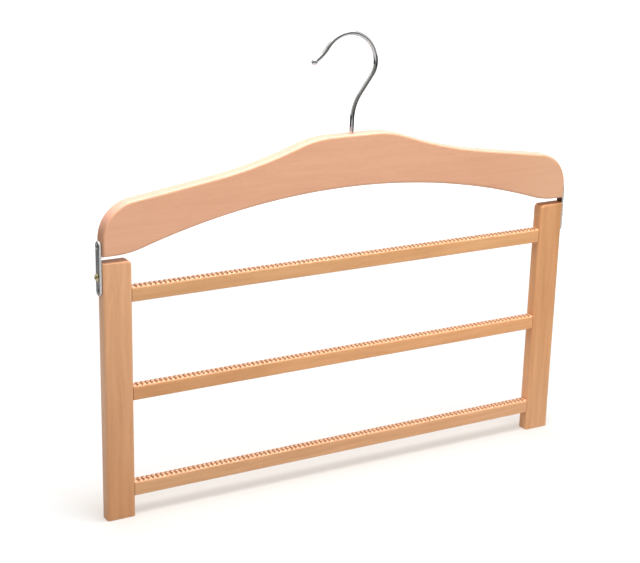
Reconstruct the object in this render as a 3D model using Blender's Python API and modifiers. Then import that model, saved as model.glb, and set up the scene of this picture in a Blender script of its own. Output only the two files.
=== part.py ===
"""Wooden trouser hanger with three notched rungs.

The arm hangs from a swivelling wire hook. Two steel straps join it to the frame of posts and rungs below, which
swings on a pin at the top of each strap. X runs along the arm, Y from front to back and Z up. The origin is on the
floor, midway between the feet of the posts. Heights called levels are measured from there.
"""

import math

import bmesh
import bpy
from mathutils import Matrix

MM = 0.001
WELD = 0.01 * MM

# Whole hanger
WIDTH = 445.0 * MM
SEAT_GAP = 0.3 * MM

# Posts
POST_WIDTH = 24.0 * MM
POST_DEPTH = 12.0 * MM
POST_HEIGHT = 219.0 * MM
POST_EDGE_RADIUS = 2.0 * MM
POST_CORNER_RADIUS = 4.0 * MM

# Rungs, whose levels are those of their undersides
RUNG_DEPTH = 9.4 * MM
RUNG_HEIGHT = 12.6 * MM
RUNG_TOP_RADIUS = 2.4 * MM
RUNG_BOTTOM_RADIUS = 0.8 * MM
BOTTOM_RUNG_LEVEL = 17.5 * MM
MIDDLE_RUNG_LEVEL = 101.2 * MM
TOP_RUNG_LEVEL = 184.3 * MM
NOTCH_PITCH = 4.18 * MM
NOTCH_WIDTH = 2.2 * MM
NOTCH_FLOOR = 0.9 * MM
NOTCH_DEPTH = 1.2 * MM
NOTCH_MARGIN = 2.0 * MM
TENON_LENGTH = 12.0 * MM
TENON_THICKNESS = 5.0 * MM
TENON_SHOULDER = 1.5 * MM

# Arm, whose heights are measured from its flat ends, which lie over the posts
ARM_LIFT = 5.0 * MM
ARM_THICKNESS = 13.0 * MM
ARM_HEIGHT = 77.2 * MM
ARM_EDGE_RADIUS = 2.0 * MM
CROWN_HALF_WIDTH = 20.0 * MM
CROWN_RADIUS = 92.0 * MM
FLANK_RADIUS = 420.0 * MM
FLANK_SLOPE = math.radians(19.5)
SHOULDER_SLOPE = math.radians(8.4)
END_RADIUS = 30.5 * MM
ARCH_HEIGHT = 33.1 * MM
ARCH_FOOT_LENGTH = 9.8 * MM
ARCH_FOOT_RADIUS = 80.0 * MM

# Straps, each turning about the centre of its upper round end
STRAP_WIDTH = 8.0 * MM
STRAP_LENGTH = 44.0 * MM
STRAP_THICKNESS = 2.0 * MM
PIVOT_HEIGHT = 8.0 * MM
SCREW_DROP = 25.0 * MM

# Fasteners
PIN_RADIUS = 1.5 * MM
PIN_HEAD_RADIUS = 2.8 * MM
PIN_HEAD_HEIGHT = 1.0 * MM
PIN_DEPTH = 14.0 * MM
SCREW_RADIUS = 1.5 * MM
SCREW_HEAD_RADIUS = 3.3 * MM
SCREW_HEAD_HEIGHT = 2.2 * MM
SCREW_DEPTH = 14.0 * MM
SCREW_TIP_LENGTH = 3.0 * MM
RECESS_WIDTH = 0.8 * MM
RECESS_LENGTH = 3.6 * MM
RECESS_DEPTH = 1.1 * MM
NAIL_RADIUS = 0.9 * MM
NAIL_HEAD_RADIUS = 1.8 * MM
NAIL_HEAD_HEIGHT = 0.5 * MM
NAIL_DEPTH = 8.5 * MM
NAIL_TIP_LENGTH = 1.5 * MM

# Hook
WIRE_RADIUS = 1.85 * MM
SHANK_DEPTH = 22.0 * MM
BEND_RADIUS = 25.0 * MM
BEND_OFFSET = -4.0 * MM
BEND_HEIGHT = 57.7 * MM
BEND_SWEEP = math.radians(145.0)
THROAT_RADIUS = 18.0 * MM
THROAT_SWEEP = math.radians(36.0)
NECK_RADIUS = 38.0 * MM
TIP_RADIUS = 35.0 * MM
TIP_SWEEP = math.radians(22.0)
TIP_LENGTH = 3.0 * MM
BALL_RADIUS = 2.6 * MM

# Fineness of the round forms
ROUND_SIDES = 24
EDGE_SEGMENTS = 3
WIRE_BEVEL_RESOLUTION = 4

# Levels and half sizes that follow from the sizes above
HALF_WIDTH = WIDTH / 2
POST_INNER_X = HALF_WIDTH - POST_WIDTH
ARM_LEVEL = POST_HEIGHT + ARM_LIFT
ARM_TOP_LEVEL = ARM_LEVEL + ARM_HEIGHT
PIVOT_LEVEL = ARM_LEVEL + PIVOT_HEIGHT
SCREW_LEVEL = PIVOT_LEVEL - SCREW_DROP
NAIL_LEVEL = PIVOT_LEVEL + STRAP_WIDTH - STRAP_LENGTH
STRAP_X = HALF_WIDTH + SEAT_GAP + STRAP_THICKNESS / 2
HEAD_X = HALF_WIDTH + 2 * SEAT_GAP + STRAP_THICKNESS

OUTLINE_IN_XZ = Matrix.Rotation(math.radians(90), 4, "X")
OUTLINE_IN_YZ = Matrix(((0, 0, 1, 0), (1, 0, 0, 0), (0, 1, 0, 0), (0, 0, 0, 1)))


def clear_scene():
    """Remove whatever the file holds."""
    for item in list(bpy.data.objects):
        bpy.data.objects.remove(item)


def new_collection(name):
    """Add a collection to the scene."""
    collection = bpy.data.collections.new(name)
    bpy.context.scene.collection.children.link(collection)
    return collection


def new_material(name, colour, roughness, metallic=0.0):
    """Make a Principled material with a plain colour."""
    material = bpy.data.materials.new(name)
    material.use_nodes = True
    shader = material.node_tree.nodes["Principled BSDF"]
    shader.inputs["Base Color"].default_value = (*colour, 1.0)
    shader.inputs["Roughness"].default_value = roughness
    shader.inputs["Metallic"].default_value = metallic
    material.diffuse_color = (*colour, 1.0)
    return material


def link_only(item, collection):
    """Leave an object in one collection."""
    for owner in list(item.users_collection):
        owner.objects.unlink(item)
    collection.objects.link(item)


def arc(centre, radius, start, end, steps):
    """Points on an arc in a plane, from the angle start to the angle end."""
    angles = [start + (end - start) * index / steps for index in range(steps + 1)]
    return [(centre[0] + radius * math.cos(angle), centre[1] + radius * math.sin(angle)) for angle in angles]


def plain_mesh(source):
    """Turn an object into a mesh object at the same place, with welded caps and whole flat faces."""
    depsgraph = bpy.context.evaluated_depsgraph_get()
    mesh = bpy.data.meshes.new_from_object(source.evaluated_get(depsgraph))
    work = bmesh.new()
    work.from_mesh(mesh)
    bmesh.ops.remove_doubles(work, verts=work.verts, dist=WELD)
    bmesh.ops.dissolve_limit(work, angle_limit=math.radians(0.02), verts=work.verts, edges=work.edges)
    bmesh.ops.recalc_face_normals(work, faces=work.faces)
    work.to_mesh(mesh)
    work.free()
    result = bpy.data.objects.new(source.name, mesh)
    result.matrix_world = source.matrix_world.copy()
    name = source.name
    bpy.data.objects.remove(source)
    result.name = name
    return result


def plate(name, outline, thickness, plane):
    """Make a flat piece from an outline, centred on its own mid plane."""
    curve = bpy.data.curves.new(name, "CURVE")
    curve.dimensions = "2D"
    curve.fill_mode = "BOTH"
    curve.extrude = thickness / 2
    spline = curve.splines.new("POLY")
    spline.points.add(len(outline) - 1)
    for point, (across, up) in zip(spline.points, outline):
        point.co = (across, up, 0.0, 1.0)
    spline.use_cyclic_u = True
    source = bpy.data.objects.new(name, curve)
    bpy.context.scene.collection.objects.link(source)
    result = plain_mesh(source)
    result.data.transform(plane)
    return result


def round_edges(item, wanted, radius, segments=EDGE_SEGMENTS):
    """Round the edges of a mesh for which wanted(edge) is true."""
    work = bmesh.new()
    work.from_mesh(item.data)
    edges = [edge for edge in work.edges if wanted(edge)]
    bmesh.ops.bevel(work, geom=edges, offset=radius, segments=segments, profile=0.5, affect="EDGES")
    work.to_mesh(item.data)
    work.free()


def is_rim(edge):
    """Tell whether an edge parts a flat front or back face from the wall around it."""
    faces = sum(1 for face in edge.link_faces if abs(face.normal.y) > 0.99)
    return faces == 1


def box(name, centre, size):
    """Make a box with its size in its mesh."""
    bpy.ops.mesh.primitive_cube_add(size=1.0)
    item = bpy.context.object
    item.name = name
    item.data.transform(Matrix.Diagonal((*size, 1.0)))
    item.location = centre
    return item


def rod(name, centre, radius, length, axis="Z"):
    """Make a round bar along X or Z."""
    bpy.ops.mesh.primitive_cylinder_add(vertices=ROUND_SIDES, radius=radius, depth=length)
    item = bpy.context.object
    item.name = name
    if axis == "X":
        item.data.transform(Matrix.Rotation(math.radians(90), 4, "Y"))
    item.location = centre
    return item


def turned(name, profile):
    """Turn a profile, given as radius and height from the top down, about the local Z axis."""
    mesh = bpy.data.meshes.new(name)
    verts = [(radius, 0.0, height) for radius, height in profile]
    mesh.from_pydata(verts, [(index, index + 1) for index in range(len(verts) - 1)], [])
    item = bpy.data.objects.new(name, mesh)
    bpy.context.scene.collection.objects.link(item)
    screw = item.modifiers.new("Turn", "SCREW")
    screw.axis = "Z"
    screw.steps = ROUND_SIDES
    screw.render_steps = ROUND_SIDES
    screw.use_merge_vertices = True
    screw.merge_threshold = WELD
    return item


def combine(target, other, operation, cutters):
    """Add a Boolean modifier, and keep its second object among the cutters."""
    modifier = target.modifiers.new(f"{operation.title()} {other.name}", "BOOLEAN")
    modifier.operation = operation
    modifier.solver = "EXACT"
    modifier.object = other
    other.hide_render = True
    other.display_type = "WIRE"
    link_only(other, cutters)


def shade_round(item, sharp_angle=30.0):
    """Shade an object smooth between its sharp edges."""
    item.data.shade_smooth()
    item.data.set_sharp_from_angle(angle=math.radians(sharp_angle))


def arm_outline():
    """Outline of the arm in X and height above its flat ends, from the top middle round to the right and back."""
    crown_end = CROWN_HALF_WIDTH + CROWN_RADIUS * math.sin(FLANK_SLOPE)
    crown_drop = CROWN_RADIUS * (1 - math.cos(FLANK_SLOPE))
    crown = arc((CROWN_HALF_WIDTH, ARM_HEIGHT - CROWN_RADIUS), CROWN_RADIUS,
                math.radians(90), math.radians(90) - FLANK_SLOPE, 8)
    flank_centre = (crown_end + FLANK_RADIUS * math.sin(FLANK_SLOPE),
                    ARM_HEIGHT - crown_drop + FLANK_RADIUS * math.cos(FLANK_SLOPE))
    flank = arc(flank_centre, FLANK_RADIUS, math.radians(270) - FLANK_SLOPE,
                math.radians(270) - SHOULDER_SLOPE, 10)
    end_x = HALF_WIDTH - END_RADIUS
    shoulder_run = end_x + END_RADIUS * math.sin(SHOULDER_SLOPE) - flank[-1][0]
    end_z = flank[-1][1] - shoulder_run * math.tan(SHOULDER_SLOPE) - END_RADIUS * math.cos(SHOULDER_SLOPE)
    end = arc((end_x, end_z), END_RADIUS, math.radians(90) - SHOULDER_SLOPE, 0.0, 12)
    foot_x = HALF_WIDTH - ARCH_FOOT_LENGTH
    arch_radius = (foot_x ** 2 + ARCH_HEIGHT ** 2) / (2 * ARCH_HEIGHT) - ARCH_FOOT_RADIUS
    lean = math.asin(foot_x / (arch_radius + ARCH_FOOT_RADIUS))
    foot = arc((foot_x, ARCH_FOOT_RADIUS), ARCH_FOOT_RADIUS,
               math.radians(270), math.radians(270) - lean, 6)
    arch = arc((0.0, ARCH_HEIGHT - arch_radius), arch_radius,
               math.radians(90) - lean, math.radians(90), 18)
    right = crown + flank[1:] + end + [(HALF_WIDTH, 0.0)] + foot + arch[1:-1]
    left = [(-across, up) for across, up in reversed(right)]
    return right + [arch[-1]] + left


def make_arm(cutters):
    """The board that carries the hook and the straps' pins."""
    arm = plate("arm", arm_outline(), ARM_THICKNESS, OUTLINE_IN_XZ)
    round_edges(arm, is_rim, ARM_EDGE_RADIUS)
    shade_round(arm)
    arm.location = (0.0, 0.0, ARM_LEVEL)
    bore_depth = SHANK_DEPTH + SEAT_GAP
    combine(arm, rod("hook_bore", (0.0, 0.0, ARM_TOP_LEVEL), WIRE_RADIUS + SEAT_GAP, 2 * bore_depth),
            "DIFFERENCE", cutters)
    for side, sign in SIDES:
        combine(arm, rod(f"{side}_pin_bore", (sign * HALF_WIDTH, 0.0, PIVOT_LEVEL), PIN_RADIUS + SEAT_GAP,
                         2 * (PIN_DEPTH + SEAT_GAP), "X"), "DIFFERENCE", cutters)
    return arm


def post_outline(sign):
    """Outline of a post in X and height, with its inner top corner rounded."""
    inner = -sign * POST_WIDTH / 2
    outer = sign * POST_WIDTH / 2
    corner_x = inner + sign * POST_CORNER_RADIUS
    corner = arc((corner_x, POST_HEIGHT - POST_CORNER_RADIUS), POST_CORNER_RADIUS,
                 math.radians(90), math.radians(90) + sign * math.radians(90), 6)
    return [(outer, 0.0), (outer, POST_HEIGHT)] + corner + [(inner, 0.0)]


def make_post(side, sign, cutters):
    """An upright, with a mortise for each rung and bores for the strap's fasteners."""
    name = f"{side}_post"
    post = plate(name, post_outline(sign), POST_DEPTH, OUTLINE_IN_XZ)
    round_edges(post, lambda edge: is_rim(edge) and max(vert.co.z for vert in edge.verts) > WELD, POST_EDGE_RADIUS)
    shade_round(post)
    post.location = (sign * (HALF_WIDTH - POST_WIDTH / 2), 0.0, 0.0)
    for rung_name, level in RUNGS:
        size = (2 * (TENON_LENGTH + SEAT_GAP), TENON_THICKNESS + 2 * SEAT_GAP,
                RUNG_HEIGHT - 2 * TENON_SHOULDER + 2 * SEAT_GAP)
        centre = (sign * POST_INNER_X, 0.0, level + RUNG_HEIGHT / 2)
        combine(post, box(f"{side}_{rung_name}_mortise", centre, size), "DIFFERENCE", cutters)
    for label, level, radius, depth in (("screw", SCREW_LEVEL, SCREW_RADIUS, SCREW_DEPTH),
                                        ("nail", NAIL_LEVEL, NAIL_RADIUS, NAIL_DEPTH)):
        bore = rod(f"{side}_{label}_bore", (sign * HALF_WIDTH, 0.0, level), radius + SEAT_GAP,
                   2 * (depth + SEAT_GAP), "X")
        combine(post, bore, "DIFFERENCE", cutters)
    return post


def notched_outline(length):
    """Side view of a rung: a bar with notches all along its top, as far as whole ones fit."""
    room = length - 2 * NOTCH_MARGIN - NOTCH_WIDTH
    count = int(room / NOTCH_PITCH) + 1
    first = -(count - 1) * NOTCH_PITCH / 2
    points = [(-length / 2, 0.0), (length / 2, 0.0), (length / 2, RUNG_HEIGHT)]
    for index in reversed(range(count)):
        middle = first + index * NOTCH_PITCH
        points += [(middle + NOTCH_WIDTH / 2, RUNG_HEIGHT), (middle + NOTCH_FLOOR / 2, RUNG_HEIGHT - NOTCH_DEPTH),
                   (middle - NOTCH_FLOOR / 2, RUNG_HEIGHT - NOTCH_DEPTH), (middle - NOTCH_WIDTH / 2, RUNG_HEIGHT)]
    points.append((-length / 2, RUNG_HEIGHT))
    return points


def rung_section():
    """Cross-section of a rung in Y and height, with well rounded upper edges."""
    half = RUNG_DEPTH / 2
    low = RUNG_BOTTOM_RADIUS
    high = RUNG_TOP_RADIUS
    quarter = math.radians(90)
    right = (arc((half - low, low), low, -quarter, 0.0, 2)
             + arc((half - high, RUNG_HEIGHT - high), high, 0.0, quarter, 2))
    return right + [(-across, up) for across, up in reversed(right)]


def make_rung(name, level, cutters):
    """A notched bar between the posts, with a tenon at each end."""
    length = 2 * (POST_INNER_X - SEAT_GAP)
    rung = plate(name, notched_outline(length), RUNG_DEPTH + 2 * MM, OUTLINE_IN_XZ)
    rung.location = (0.0, 0.0, level)
    bar = plate(f"{name}_bar", rung_section(), length + 2 * MM, OUTLINE_IN_YZ)
    bar.location = (0.0, 0.0, level)
    combine(rung, bar, "INTERSECT", cutters)
    tenon_height = RUNG_HEIGHT - 2 * TENON_SHOULDER
    overlap = 2 * MM
    for side, sign in SIDES:
        size = (TENON_LENGTH + overlap, TENON_THICKNESS, tenon_height)
        centre = (sign * (POST_INNER_X + (TENON_LENGTH - overlap) / 2 - SEAT_GAP), 0.0, level + RUNG_HEIGHT / 2)
        combine(rung, box(f"{side}_{name}_tenon", centre, size), "UNION", cutters)
    return rung


def strap_outline():
    """Outline of a strap in Y and height above its pivot: straight sides and half-round ends."""
    radius = STRAP_WIDTH / 2
    low = STRAP_WIDTH - STRAP_LENGTH
    return (arc((0.0, 0.0), radius, 0.0, math.pi, ROUND_SIDES // 2)
            + arc((0.0, low), radius, math.pi, 2 * math.pi, ROUND_SIDES // 2))


def make_strap(side, sign, cutters):
    """A steel link that is fixed to the post and turns on the arm's pin."""
    strap = plate(f"{side}_strap", strap_outline(), STRAP_THICKNESS, OUTLINE_IN_YZ)
    shade_round(strap)
    strap.location = (sign * STRAP_X, 0.0, PIVOT_LEVEL)
    for label, level, radius in (("pin", PIVOT_LEVEL, PIN_RADIUS), ("screw", SCREW_LEVEL, SCREW_RADIUS),
                                 ("nail", NAIL_LEVEL, NAIL_RADIUS)):
        hole = rod(f"{side}_strap_{label}_hole", (sign * STRAP_X, 0.0, level), radius + SEAT_GAP,
                   4 * STRAP_THICKNESS, "X")
        combine(strap, hole, "DIFFERENCE", cutters)
    return strap


def dome(radius, height, steps=4):
    """Profile of a domed head that is flat underneath, from its top down to its rim."""
    ball = (radius ** 2 + height ** 2) / (2 * height)
    reach = math.asin(radius / ball)
    return [(ball * math.sin(reach * index / steps), height - ball * (1 - math.cos(reach * index / steps)))
            for index in range(steps + 1)]


def shank(radius, depth, tip_length):
    """Profile of a round shank below a head, from the head's underside down to the tip on the axis."""
    reach = depth + STRAP_THICKNESS + 2 * SEAT_GAP
    return [(radius, 0.0), (radius, tip_length - reach), (0.0, -reach)]


def place_fastener(item, sign, level):
    """Lay a turned fastener along X, with its head's underside against the outside of the strap."""
    item.rotation_euler = (0.0, sign * math.radians(90), 0.0)
    item.location = (sign * HEAD_X, 0.0, level)
    return item


def make_pin(side, sign):
    """The pin in the arm's end, on which the strap turns."""
    profile = dome(PIN_HEAD_RADIUS, PIN_HEAD_HEIGHT) + shank(PIN_RADIUS, PIN_DEPTH, PIN_RADIUS / 2)
    return place_fastener(turned(f"{side}_pivot_pin", profile), sign, PIVOT_LEVEL)


def make_screw(side, sign, cutters):
    """The round-head screw that holds the strap to the post, with a cross recess."""
    profile = dome(SCREW_HEAD_RADIUS, SCREW_HEAD_HEIGHT, 6) + shank(SCREW_RADIUS, SCREW_DEPTH, SCREW_TIP_LENGTH)
    screw = place_fastener(turned(f"{side}_strap_screw", profile), sign, SCREW_LEVEL)
    recess_x = sign * (HEAD_X + SCREW_HEAD_HEIGHT)
    for label, size in (("upright", (2 * RECESS_DEPTH, RECESS_WIDTH, RECESS_LENGTH)),
                        ("level", (2 * RECESS_DEPTH, RECESS_LENGTH, RECESS_WIDTH))):
        slot = box(f"{side}_screw_{label}_slot", (recess_x, 0.0, SCREW_LEVEL), size)
        combine(screw, slot, "DIFFERENCE", cutters)
    return screw


def make_nail(side, sign):
    """The small nail at the strap's lower end, which keeps the strap from turning on the post."""
    profile = dome(NAIL_HEAD_RADIUS, NAIL_HEAD_HEIGHT, 3) + shank(NAIL_RADIUS, NAIL_DEPTH, NAIL_TIP_LENGTH)
    return place_fastener(turned(f"{side}_strap_nail", profile), sign, NAIL_LEVEL)


def hook_path():
    """Centre line of the hook's wire in X and height above the arm's top, from the shank's end to the ball."""
    bend_centre = (BEND_OFFSET, BEND_HEIGHT)
    throat_centre = (BEND_OFFSET + BEND_RADIUS - THROAT_RADIUS, BEND_HEIGHT)
    throat = arc(throat_centre, THROAT_RADIUS, -THROAT_SWEEP, 0.0, 6)
    bend = arc(bend_centre, BEND_RADIUS, 0.0, BEND_SWEEP, 22)
    neck_run = throat[0][0] - NECK_RADIUS * (1 - math.cos(THROAT_SWEEP))
    neck_drop = neck_run / math.tan(THROAT_SWEEP)
    neck_level = throat[0][1] - neck_drop - NECK_RADIUS * math.sin(THROAT_SWEEP)
    neck = arc((NECK_RADIUS, neck_level), NECK_RADIUS, math.pi, math.pi - THROAT_SWEEP, 5)
    turn = BEND_SWEEP
    tip_centre = (bend[-1][0] + TIP_RADIUS * math.cos(turn), bend[-1][1] + TIP_RADIUS * math.sin(turn))
    tip = arc(tip_centre, TIP_RADIUS, turn + math.pi, turn + math.pi - TIP_SWEEP, 5)
    heading = turn + math.radians(90) - TIP_SWEEP
    ball = (tip[-1][0] + TIP_LENGTH * math.cos(heading), tip[-1][1] + TIP_LENGTH * math.sin(heading))
    return [(0.0, -SHANK_DEPTH)] + neck + throat + bend[1:] + tip[1:] + [ball]


def make_hook(cutters):
    """The bent wire with a ball at its tip."""
    path = hook_path()
    curve = bpy.data.curves.new("hook", "CURVE")
    curve.dimensions = "3D"
    curve.bevel_depth = WIRE_RADIUS
    curve.bevel_resolution = WIRE_BEVEL_RESOLUTION
    curve.use_fill_caps = True
    spline = curve.splines.new("POLY")
    spline.points.add(len(path) - 1)
    for point, (across, up) in zip(spline.points, path):
        point.co = (across, 0.0, up, 1.0)
    source = bpy.data.objects.new("hook", curve)
    bpy.context.scene.collection.objects.link(source)
    hook = plain_mesh(source)
    shade_round(hook)
    hook.location = (0.0, 0.0, ARM_TOP_LEVEL)
    bpy.ops.mesh.primitive_uv_sphere_add(segments=16, ring_count=10, radius=BALL_RADIUS)
    ball = bpy.context.object
    ball.name = "hook_ball"
    ball.location = (path[-1][0], 0.0, ARM_TOP_LEVEL + path[-1][1])
    ball.data.shade_smooth()
    combine(hook, ball, "UNION", cutters)
    return hook


def add_joint(name, place, collection, parent=None):
    """Add an empty on a joint's axis."""
    empty = bpy.data.objects.new(name, None)
    empty.empty_display_size = 10 * MM
    empty.location = place
    collection.objects.link(empty)
    if parent:
        attach(empty, parent)
    return empty


def attach(item, parent):
    """Parent an object and leave it where it is."""
    bpy.context.view_layer.update()
    item.parent = parent
    item.matrix_parent_inverse = parent.matrix_world.inverted()


SIDES = (("left", -1), ("right", 1))
RUNGS = (("bottom_rung", BOTTOM_RUNG_LEVEL), ("middle_rung", MIDDLE_RUNG_LEVEL), ("top_rung", TOP_RUNG_LEVEL))
WOOD_COLOURS = {
    "arm": (0.80, 0.44, 0.26),
    "post": (0.72, 0.38, 0.19),
    "rung": (0.68, 0.36, 0.17),
}
STEEL_COLOUR = (0.42, 0.42, 0.43)
CHROME_COLOUR = (0.80, 0.80, 0.82)
ZINC_COLOUR = (0.78, 0.66, 0.38)


def main():
    """Build the hanger."""
    clear_scene()
    pieces = new_collection("trouser_hanger")
    cutters = new_collection("cutters")

    def add(item, material, parent):
        """Dress a finished piece and hang it on its joint."""
        link_only(item, pieces)
        item.data.materials.clear()
        item.data.materials.append(material)
        attach(item, parent)

    swivel = add_joint("hook_swivel_axis", (0.0, 0.0, ARM_TOP_LEVEL), pieces)
    swing = add_joint("frame_swing_axis", (0.0, 0.0, PIVOT_LEVEL), pieces, swivel)

    add(make_hook(cutters), new_material("hook_chrome", CHROME_COLOUR, 0.15, 1.0), swivel)
    add(make_arm(cutters), new_material("arm_wood", WOOD_COLOURS["arm"], 0.45), swivel)
    for name, level in RUNGS:
        add(make_rung(name, level, cutters), new_material(f"{name}_wood", WOOD_COLOURS["rung"], 0.5), swing)
    for side, sign in SIDES:
        wood = new_material(f"{side}_post_wood", WOOD_COLOURS["post"], 0.45)
        add(make_post(side, sign, cutters), wood, swing)
        steel = new_material(f"{side}_strap_steel", STEEL_COLOUR, 0.35, 1.0)
        add(make_strap(side, sign, cutters), steel, swing)
        zinc = new_material(f"{side}_screw_zinc", ZINC_COLOUR, 0.3, 1.0)
        add(make_screw(side, sign, cutters), zinc, swing)
        bright = new_material(f"{side}_nail_steel", STEEL_COLOUR, 0.3, 1.0)
        add(make_nail(side, sign), bright, swing)
        pin_steel = new_material(f"{side}_pin_steel", STEEL_COLOUR, 0.3, 1.0)
        add(make_pin(side, sign), pin_steel, swivel)


main()
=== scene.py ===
"""Looks of the wooden trouser hanger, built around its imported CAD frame.

The arm hangs on a swivelling wire hook and carries two pins. The frame of posts and notched rungs swings on them by
two steel straps. Each class below builds one of these sub-assemblies and dresses it. X runs along the arm, Y from
front to back and Z up, with the origin on the floor between the posts' feet. Lengths are in metres.
"""

import logging
import math
from collections.abc import Sequence
from dataclasses import dataclass
from enum import Enum
from functools import cache

import bmesh
import bpy
from mathutils import Matrix, Vector

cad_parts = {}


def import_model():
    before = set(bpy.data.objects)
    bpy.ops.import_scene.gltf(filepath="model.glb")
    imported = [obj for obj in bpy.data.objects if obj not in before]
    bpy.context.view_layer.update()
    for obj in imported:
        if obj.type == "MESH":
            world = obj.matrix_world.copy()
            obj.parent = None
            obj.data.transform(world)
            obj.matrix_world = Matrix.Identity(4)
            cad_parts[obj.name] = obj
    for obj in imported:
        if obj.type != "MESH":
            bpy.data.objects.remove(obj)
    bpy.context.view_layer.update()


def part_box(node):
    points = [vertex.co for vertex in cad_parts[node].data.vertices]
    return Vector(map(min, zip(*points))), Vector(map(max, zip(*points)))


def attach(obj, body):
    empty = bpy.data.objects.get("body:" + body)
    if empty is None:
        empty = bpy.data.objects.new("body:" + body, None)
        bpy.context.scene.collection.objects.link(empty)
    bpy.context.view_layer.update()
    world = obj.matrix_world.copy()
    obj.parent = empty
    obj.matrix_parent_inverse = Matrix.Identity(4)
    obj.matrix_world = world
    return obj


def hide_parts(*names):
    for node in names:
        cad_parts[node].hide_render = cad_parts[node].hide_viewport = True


MM = 0.001
SOCKET_KINDS = {"RGBA": "Color", "VALUE": "Float", "GEOMETRY": "Geometry"}
QUARTER_TURN = math.radians(90)
SHARP_ANGLE = math.radians(38)
FACE_WEIGHT = 100
STRAIGHT_CROSS = 1e-4
FACE_MARGIN = 0.35
ROD_SIDES = 48
BALL_SIDES = 32
BALL_RINGS = 24
DOME_STEPS = 14
LATHE_RADIUS = 0.01 * MM
HEAD_RIM = 0.25 * MM
HEAD_GAP = 0.3 * MM
PIVOT_DROP = 4.0 * MM
SCREW_DROP = 25.0 * MM
NAIL_DROP = 36.0 * MM
SLOT_SIZES = ((2.2, 0.8, 3.6), (2.2, 3.6, 0.8))  # in millimetres
NOTCH_RINGS = 4
END_RINGS = 3
SHOULDER_STEP = 0.002 * MM
WELD_GAP = 0.001 * MM
WHITE = (1.0, 1.0, 1.0)

Point2 = tuple[float, float]
Point3 = tuple[float, float, float]
Colour = tuple[float, float, float]

log = logging.getLogger("trouser_hanger")


class Side(Enum):
    """The two ends of the hanger, each with the sign of its X."""

    LEFT = -1
    RIGHT = 1

    @property
    def label(self) -> str:
        """Name of the side as the node names have it."""
        return self.name.lower()


class Axis(Enum):
    """A direction that a flat piece is thick in, or that a grain runs along."""

    X = (1.0, 0.0, 0.0)
    Y = (0.0, 1.0, 0.0)
    Z = (0.0, 0.0, 1.0)


class Rung(Enum):
    """The three rungs, by the names of their nodes."""

    TOP = "top_rung"
    MIDDLE = "middle_rung"
    BOTTOM = "bottom_rung"


def arc(centre: Point2, radius: float, start: float, end: float, steps: int) -> list[Point2]:
    """Points on an arc in a plane.

    Args:
        centre: Centre of the arc.
        radius: Radius of the arc.
        start: Angle of the first point, in radians.
        end: Angle of the last point, in radians.
        steps: Number of equal steps between them.

    Returns:
        The points, one more than there are steps.
    """
    angles = [start + (end - start) * index / steps for index in range(steps + 1)]
    return [(centre[0] + radius * math.cos(angle), centre[1] + radius * math.sin(angle)) for angle in angles]


def new_object(name: str, mesh: bpy.types.Mesh) -> bpy.types.Object:
    """Add an object for a mesh to the scene.

    Args:
        name: Name of the object.
        mesh: Its mesh, in place.

    Returns:
        The new object.
    """
    item = bpy.data.objects.new(name, mesh)
    bpy.context.scene.collection.objects.link(item)
    return item


def from_line(name: str, points: Sequence[Point3]) -> bpy.types.Object:
    """Make an object of points joined by edges.

    Args:
        name: Name of the object.
        points: The points, in order.

    Returns:
        The line as an object.
    """
    mesh = bpy.data.meshes.new(name)
    mesh.from_pydata(points, [(index, index + 1) for index in range(len(points) - 1)], [])
    return new_object(name, mesh)


def from_work(name: str, work: bmesh.types.BMesh) -> bpy.types.Object:
    """Make an object of a mesh under work, and free that mesh.

    Args:
        name: Name of the object.
        work: The mesh, in place.

    Returns:
        The object with its place in its mesh.
    """
    mesh = bpy.data.meshes.new(name)
    work.to_mesh(mesh)
    work.free()
    return new_object(name, mesh)


def settle(item: bpy.types.Object) -> bpy.types.Object:
    """Turn what an object's modifiers make into its plain mesh.

    Args:
        item: The object with live modifiers.

    Returns:
        The same object, without modifiers.
    """
    graph = bpy.context.evaluated_depsgraph_get()
    mesh = bpy.data.meshes.new_from_object(item.evaluated_get(graph), preserve_all_data_layers=True, depsgraph=graph)
    item.modifiers.clear()
    item.data = mesh
    return item


def cut(item: bpy.types.Object, cutters: Sequence[bpy.types.Object]) -> bpy.types.Object:
    """Take the shapes of the cutters out of an object, and remove the cutters.

    Args:
        item: The object to cut.
        cutters: Closed shapes in place.

    Returns:
        The same object with the cuts in its mesh.
    """
    for cutter in cutters:
        modifier = item.modifiers.new(cutter.name, "BOOLEAN")
        modifier.operation = "DIFFERENCE"
        modifier.solver = "EXACT"
        modifier.object = cutter
    settle(item)
    for cutter in cutters:
        bpy.data.objects.remove(cutter)
    return item


def shade(item: bpy.types.Object) -> bpy.types.Object:
    """Shade an object smooth between its sharp edges, with its flat faces kept flat.

    Args:
        item: The object to shade.

    Returns:
        The same object.
    """
    item.data.shade_smooth()
    item.data.set_sharp_from_angle(angle=SHARP_ANGLE)
    modifier = item.modifiers.new("Flat faces", "WEIGHTED_NORMAL")
    modifier.keep_sharp = True
    modifier.weight = FACE_WEIGHT
    return settle(item)


def rod(centre: Point3, radius: float, length: float, axis: Axis) -> bpy.types.Object:
    """Make a round bar to drill with.

    Args:
        centre: Middle of the bar.
        radius: Radius of the bar.
        length: Whole length of the bar.
        axis: Direction that it runs along.

    Returns:
        The bar as an object with its place in its mesh.
    """
    work = bmesh.new()
    bmesh.ops.create_cone(work, cap_ends=True, segments=ROD_SIDES, radius1=radius, radius2=radius, depth=length)
    turn = Vector(Axis.Z.value).rotation_difference(Vector(axis.value)).to_matrix().to_4x4()
    bmesh.ops.transform(work, matrix=Matrix.Translation(centre) @ turn, verts=work.verts)
    return from_work("rod", work)


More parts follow.
